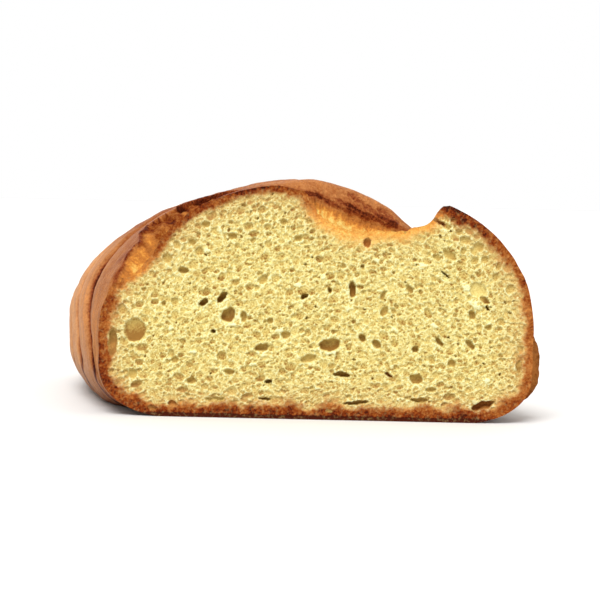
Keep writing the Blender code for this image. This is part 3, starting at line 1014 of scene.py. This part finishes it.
thrown = 0
for kind, ((tries, smallest, largest), overlap) in enumerate(zip(BUBBLE_SIZES, WALL_SHARE)):
    for x, z, size, odd, deep, luck in DRAW.random((tries, 6)):
        x = face_low[0] + x * (face_high[0] - face_low[0])
        z = face_low[2] + z * (face_high[2] - face_low[2])
        if smallest > SMALL and luck > packed_at(x, z):
            continue
        size = (smallest + (largest - smallest) * size) * MM
        if from_rim[cell_at(x, z)] < 0.7 * size + 1.0 * MM:
            continue
        tilt, long = stretch_at(x, z)
        long *= 0.75 + 0.5 * odd
        tilt += 110.0 * (odd - 0.5) * (1.2 - min(1.0, size / (2.0 * MM)))
        width, height = size * math.sqrt(long), size / math.sqrt(long)
        window, out = bowl(x, z, width, height, tilt)
        if not (out < 1.0).any() or taken[window][out < 1.0].mean() > overlap:
            continue
        small = smallest < SMALL
        # tone: the painted shade of the bubble's floor, varied at random
        tone = 0.05 + 0.75 * luck if small else 0.20 + 0.70 * odd
        bottom = size * (0.22 + 0.30 * deep) if small else size * (0.13 + 0.26 * deep**2)
        if kind == 0:
            bottom, tone = PINHOLE_DEPTH * (0.5 + deep), 0.5 + 0.4 * luck
        press(x, z, width, height, tilt, bottom, 0.3 * deep, tone)
        thrown += 1
print("bubbles:", thrown, "share of the face:", round(taken[from_rim > 0].mean(), 3))

# %% [markdown]
# ## Torn walls and the crust's edge
# Between the bubbles the knife tears the walls, so the face there is rough and a little uneven.
# Towards the rim the crumb closes up into the crust, which is thick at the base and on the slumped
# side, thin on the crown and thinnest on a fresh tear.

# %% Roughness and the crust's thickness
CRUST_EDGE = (
    (-150, 3.8, 0.86, 0.35), (-112, 3.8, 0.86, 0.35), (-100, 3.6, 0.84, 0.35), (-85, 3.7, 0.8, 0.35),
    (-73, 3.6, 0.77, 0.35), (-66, 2.5, 0.64, 0.5), (-61, 1.6, 0.3, 0.7), (-56, 1.5, 0.55, 0.5),
    (-50, 2, 0.74, 0.4), (-42, 2.2, 0.84, 0.35), (-28, 2, 0.86, 0.4), (-12, 2.1, 0.86, 0.4),
    (-4, 2, 0.8, 0.5), (1, 2.4, 0.34, 0.9), (6, 2.8, 0.16, 0.95), (26, 2.6, 0.16, 0.95),
    (34, 2.2, 0.2, 0.8), (35.2, 1.8, 0.4, 0.6), (35.8, 3.6, 0.92, 0.4), (36.4, 4.2, 0.98, 0.35),
    (45, 3.9, 0.92, 0.4), (52, 3, 0.8, 0.45), (62, 2.7, 0.74, 0.5), (80, 2.8, 0.7, 0.5),
    (100, 3, 0.7, 0.45), (112, 3.6, 0.8, 0.4), (150, 3.9, 0.88, 0.35),
)
UNDERSIDE_GIRTH = 150.0 * MM

rim_girth = np.where(rim[nearest, 2] < 0.2 * MM, UNDERSIDE_GIRTH, rim_girths[nearest])
at_girth, *edge = np.array(CRUST_EDGE).T
thickness, edge_bake, softness = [np.interp(rim_girth, at_girth * MM, part) for part in edge]
thickness *= MM
fresh = 1.0 - ramp(edge_bake, 0.30, 0.65)
thickness *= 1.0 + 0.40 * net_noise(5.0, 41) + 0.30 * net_noise(1.5, 42)
crust_share = 1.0 - ramp(from_rim, (1.0 - softness) * thickness, (1.0 + softness) * thickness)
fine, finer = net_noise(0.62, 43), net_noise(1.3, 44)
grit = DRAW.random(net_x.shape) - 0.5
rough = 0.08 * MM * fine + 0.05 * MM * finer + 0.13 * MM * grit + 0.15 * MM
uneven = 0.40 * MM * (0.5 + 0.5 * net_noise(9.0, 45))
grainy = 0.34 * MM * np.abs(net_noise(0.80, 46)) + 0.20 * MM * np.abs(net_noise(2.2, 47)) + 0.04 * MM
grainy += 0.5 * rough * fresh
open_depth = np.minimum(pressed, 0.25 * MM + 0.75 * np.maximum(from_rim, 0.0))
crusty_depth = np.maximum(grainy, 0.55 * open_depth)
depth = (open_depth + rough + uneven) * (1.0 - crust_share) + crusty_depth * crust_share
depth *= ramp_mm(from_rim, 0.0, 0.5)
crust_share *= 1.0 - 0.7 * ramp_mm(pressed, 0.6, 1.2)
print("deepest point in mm:", round(depth.max() / MM, 2))


def blurred(field, cells):
    """The mean of a field over a square of cells to each side."""
    for axis in (0, 1):
        edge = [(cells, cells) if part == axis else (0, 0) for part in (0, 1)]
        total = np.cumsum(np.pad(field, edge, mode="edge"), axis=axis)
        size = field.shape[axis]
        late = np.take(total, range(2 * cells, 2 * cells + size), axis=axis)
        early = np.take(total, range(size), axis=axis)
        field = (late - early) / (2 * cells)
    return field


# %% How dark each point is painted (painted shade), how toasted, with a painted contact shadow, and how tanned
NEAR_CELLS = 4
TAN_REACH = 4.2 * MM

# painted shade: darker in the hollows and on the bubble floors, lighter on the walls
hollow = depth - blurred(blurred(depth, NEAR_CELLS), NEAR_CELLS)
cavity = 0.375 + 0.32 * np.tanh(hollow / (0.70 * MM)) + 0.46 * shaded + 0.12 * grit
toasted = edge_bake * (1.0 - 0.50 * ramp(from_rim, 0.45 * thickness, 1.5 * thickness))
charred = 0.16 * (1.0 + net_noise(2.0, 53)) * ramp(edge_bake, 0.70, 0.85)
toasted += charred * (1.0 - ramp_mm(from_rim, 0.1, 0.75))
# painted contact shadow: the lowest millimetre of the face is painted nearly black
toasted += 0.9 * (1.0 - ramp_mm(net_z, 0.4, 1.4))
toasted += (0.14 * net_noise(0.75, 51) + 0.16 * net_noise(2.5, 52)) * (1.0 - 0.6 * fresh)
# deeper grain pits in the crust painted darker: painted shade
toasted += 0.16 * np.tanh((grainy - 0.2 * MM) / (0.2 * MM)) * (1.0 - fresh)
flaps = np.zeros(net_x.shape)
for x, z, width, height, tilt in FLAPS:
    window, out = bowl(x * MM, z * MM, width * MM, height * MM, tilt)
    flaps[window] = np.maximum(flaps[window], 1.0 - ramp(out, 0.6, 1.1))
# flaps: torn walls that stand up, painted lighter: painted highlight
cavity -= 0.42 * flaps
depth -= np.minimum(0.5 * MM, 0.8 * depth) * flaps
for x, z, radius, tone in STAINS:
    near = 1.0 - ramp_mm(np.hypot(bent_x - x * MM, bent_z - z * MM), 0.7 * radius, 1.3 * radius)
    near *= ramp_mm(pressed, 0.3, 0.9)
    toasted += (tone - toasted) * near * (1.0 - crust_share)
    crust_share = np.maximum(crust_share, 0.8 * near)
tanned = np.exp(-np.maximum(from_rim - thickness, 0.0) / TAN_REACH) * (1.0 - 0.5 * fresh)
tanned *= 1.0 - 0.75 * ramp_mm(pressed, 0.5, 1.1)
print("cavity middle:", np.round(np.percentile(cavity[from_rim > 4 * MM], (5, 50, 95)), 2))

# %% Cut the grid to the rim and close it behind
face = bmesh.new()
bmesh.ops.create_grid(face, x_segments=columns, y_segments=rows, size=1.0)
kept = {"cavity": cavity, "toasted": toasted, "crust_share": crust_share, "tanned": tanned}
kept["deep"] = depth / MM
layers = [(face.verts.layers.float.new(name), field) for name, field in kept.items()]
outside = []
for v in face.verts:
    column = round((v.co.x + 1.0) / 2.0 * columns)
    row = round((v.co.y + 1.0) / 2.0 * rows)
    v.co = (net_x[row, column], depth[row, column], net_z[row, column])
    for layer, field in layers:
        v[layer] = field[row, column]
    if from_rim[row, column] < 0.35 * NET:
        outside.append(v)
bmesh.ops.delete(face, geom=outside, context="VERTS")
loose = [v for v in face.verts if len(v.link_faces) < 2]
bmesh.ops.delete(face, geom=loose, context="VERTS")
edge_points = [v for v in face.verts if v.is_boundary]
for v in edge_points:
    v.co = rim[tree.find((v.co.x, 0.0, v.co.z))[1]]
bmesh.ops.remove_doubles(face, verts=edge_points, dist=0.03 * MM)
bmesh.ops.delete(face, geom=[e for e in face.edges if not e.link_faces], context="EDGES")
bmesh.ops.delete(face, geom=[v for v in face.verts if not v.link_faces], context="VERTS")
edge_loop = [e for e in face.edges if e.is_boundary]
for e in edge_loop:
    e.smooth = False
pocketed(face, edge_loop, 1.0 * MM, 0.992)
crumb = finished("crumb", face)

# %% [markdown]
# ## The finish of the crust
# Baked skin has the colour of its bake, mottled in patches, streaks and fine grain, with a few dark
# cracks. It has hardly any shine: more would turn it grey where it is seen edge on. Painted sheen
# makes skin a little paler, a torn floor is quite matt; colours run from pale dough to nearly black-red.

# %% Paint the crust
BAKE_COLOURS = [
    (0.00, paint(250, 214, 124)), (0.10, paint(247, 190, 96)), (0.22, paint(240, 162, 74)),
    (0.38, paint(208, 128, 58)), (0.54, paint(183, 114, 58)), (0.66, paint(161, 92, 40)),
    (0.80, paint(137, 64, 21)), (0.90, paint(113, 44, 10)), (1.00, paint(72, 27, 7)),
]
SHEEN_COLOUR = paint(226, 182, 142)
SKIN_SHINE = 0.035
TOP_CRACK_WIDTH = 0.85 * MM
SIDE_CRACK_WIDTH = 1.6 * MM
SIDE_CRACK_SHARE = 0.35
CRACK_DARKNESS = 0.17
CRACK_DEPTH = 0.35
CRACKS_ON_TOP = [
    [(-10.9, 64.2), (-7.1, 63.3), (-3.7, 62.7), (0.3, 62.7), (2.2, 61.1), (4.4, 59.9), (6.9, 58.7),
     (10.3, 57.5), (14.4, 56.1)],
    [(5, 61.4), (8.1, 60.3), (10.6, 58.7), (13.7, 57.6), (15.9, 56.4), (19, 54.9), (22.1, 53.8)],
    [(8.9, 62.9), (12.7, 60.4), (15.9, 58.3), (19.6, 56.2), (22.1, 54.7)],
    [(17.4, 58.9), (20.2, 57.1), (22.4, 55.3)],
]
CRACKS_ON_SIDE = [[(-58, 22), (-64, 26), (-69, 29.2), (-74, 31), (-79, 35)]]


def cracked(across, up, lines, width):
    """1 on lines drawn through points in mm, given the wires of two coordinates."""
    nearest = None
    for line in lines:
        for start, end in zip(line, line[1:]):
            start, end = Vector(start) * MM, Vector(end) * MM
            side = end - start
            from_x, from_y = across - start.x, up - start.y
            share = ((from_x * side.x + from_y * side.y) * (1.0 / side.length_squared)).clipped()
            off_x, off_y = from_x - share * side.x, from_y - share * side.y
            away = (off_x * off_x + off_y * off_y).math("SQRT")
            nearest = away if nearest is None else nearest.math("MINIMUM", away)
    return 1.0 - nearest.step(0.3 * width, width)


skin_paint, skin_shader, wire = new_material("baked_skin")
here = wire.node("TexCoord", out="Object")
place = wire.read("place", out="Vector")
ragged = here.noise(2.0, 4.0, out="Color").moved((-0.5, -0.5, -0.5)).scaled(2.4 * MM)
bent_here, bent_place = here.moved(ragged), place.moved(ragged)
near_front = 1.0 - bent_here.along("Y").step(FACE_Y + 9.0 * MM, FACE_Y + 12.0 * MM)
from_left = bent_here.along("X") - FACE_X
on_top = cracked(from_left, bent_here.along("Z"), CRACKS_ON_TOP, TOP_CRACK_WIDTH) * near_front
on_side = cracked(bent_place.along("X"), bent_place.along("Y"), CRACKS_ON_SIDE, SIDE_CRACK_WIDTH)
cracks = on_top.math("MAXIMUM", on_side * SIDE_CRACK_SHARE)

# %% Mottle, colour, shine and relief of the crust
torn_wire = wire.read("torn")
stretched = place.squeezed(0.16, 1.0, 1.0)
patches = here.lumps(8.0, 4.0, 0.65) * 0.45
streaks = stretched.lumps(4.0, 4.0, 0.65) * 0.50 * wire.read("side")
grain = here.lumps(0.7, 4.0, 0.75) * 0.75
crackled = bent_place.squeezed(1.0, 0.35, 1.0).lumps(1.5, 4.0, 0.7) * (torn_wire * 0.7 + 0.25)
baked_and_shaded = (wire.read("bake") + patches + streaks + grain + crackled + cracks * CRACK_DARKNESS).clipped()
soft_lumps = here.lumps(3.0)
# painted sheen: the pale mix, weaker on darker skin
sheen_share = wire.read("dry") * (1.0 + soft_lumps * 1.2) * (1.7 - baked_and_shaded * 1.7).clipped()
sheen_share.mixed(baked_and_shaded.ramp(BAKE_COLOURS), SHEEN_COLOUR).into(skin_shader.inputs["Base Color"])
skin_shader.inputs["Specular IOR Level"].default_value = SKIN_SHINE
(torn_wire * 0.4 + 0.40 + soft_lumps * 0.25).clipped().into(skin_shader.inputs["Roughness"])
raised = here.lumps(1.0, 5.0, 0.7) * (torn_wire + 1.0) + stretched.lumps(1.0) * 0.9
raised = raised - cracks * CRACK_DEPTH
bumpy = wire.node("Bump", None, {"Height": raised, "Distance": 0.6 * MM, "Strength": 1.0})
bumpy.into(skin_shader.inputs["Normal"])
crust.data.materials.append(skin_paint)
print("nodes in the crust's material:", len(skin_paint.node_tree.nodes))

# %% [markdown]
# ## The finish of the crumb
# The crumb is painted cream on the bubble walls and a deeper mustard in the hollows and on the bubble
# floors: painted shade, with painted bounce light that picks up more of the colour. Next to the crust
# the crumb is tanned, and the rim takes the crust's own colours.

# %% Paint the crumb
CRUMB_COLOURS = [
    (0.00, paint(250, 251, 195)), (0.25, paint(242, 228, 152)), (0.48, paint(227, 205, 123)),
    (0.72, paint(199, 168, 93)), (1.00, paint(148, 106, 50)),
]
TAN = paint(196, 152, 92)
CRUMB_SHINE = 0.12

crumb_paint, crumb_shader, wire = new_material("mustard_crumb")
here = wire.node("TexCoord", out="Object")
warped = here.moved(here.noise(1.1, 1.0, out="Color").scaled(0.5 * MM))


def foam(size):
    """Tiny cells of that size in mm: 0 on their walls and 1 in their middles."""
    values = {"Vector": warped, "Scale": 1.0 / (size * MM)}
    walls = wire.node("TexVoronoi", {"feature": "DISTANCE_TO_EDGE"}, values)
    return walls.step(0.0, 0.32)


shallow = 1.0 - wire.read("deep").step(0.9, 1.7)
# painted shade in tiny cells: darker middles and lighter walls, also used for the bump
cells = (foam(0.95) * 0.22 + foam(0.55) * 0.22 - 0.22) * shallow
specks = here.lumps(0.42, 3.0, 0.7) * (shallow * 0.55 + 0.2)
# painted glints: small cream spots where torn bits would catch the light
painted_glints = here.lumps(0.9, 2.0).step(0.14, 0.24) * shallow * 0.22
shade = wire.read("cavity") + cells + specks - painted_glints + here.lumps(9.0) * 0.14
tanned_wire = wire.read("tanned")
soft = (tanned_wire * (shade * 0.8 + 0.25)).clipped().mixed(shade.clipped().ramp(CRUMB_COLOURS), TAN)
grains = here.lumps(0.6, 3.0, 0.7) * 0.70
hard = (wire.read("toasted") + grains).clipped().ramp(BAKE_COLOURS)
share = (wire.read("crust_share") + here.lumps(1.0, 3.0) * 0.9 * tanned_wire).clipped()
share.mixed(soft, hard).into(crumb_shader.inputs["Base Color"])
crumb_shader.inputs["Roughness"].default_value = 0.9
crumb_shader.inputs["Specular IOR Level"].default_value = CRUMB_SHINE
tiny = here.lumps(0.4, 3.0, 0.65) * (shallow * 0.8 + 0.2) - cells * 0.8
pitted = wire.node("Bump", None, {"Height": tiny, "Distance": 0.26 * MM, "Strength": 0.9})
pitted.into(crumb_shader.inputs["Normal"])
crumb.data.materials.append(crumb_paint)
print("nodes in the crumb's material:", len(crumb_paint.node_tree.nodes))

# %% Attach the two pieces to the loaf's body and hide the solid loaf
for piece, slot in ((crust, "crust"), (crumb, "crumb")):
    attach(piece, "root")
    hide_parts("loaf")
size = {"cad": [list(corner) for corner in cad_box], "visual": [list(corner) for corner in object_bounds()]}
print("size:", size)
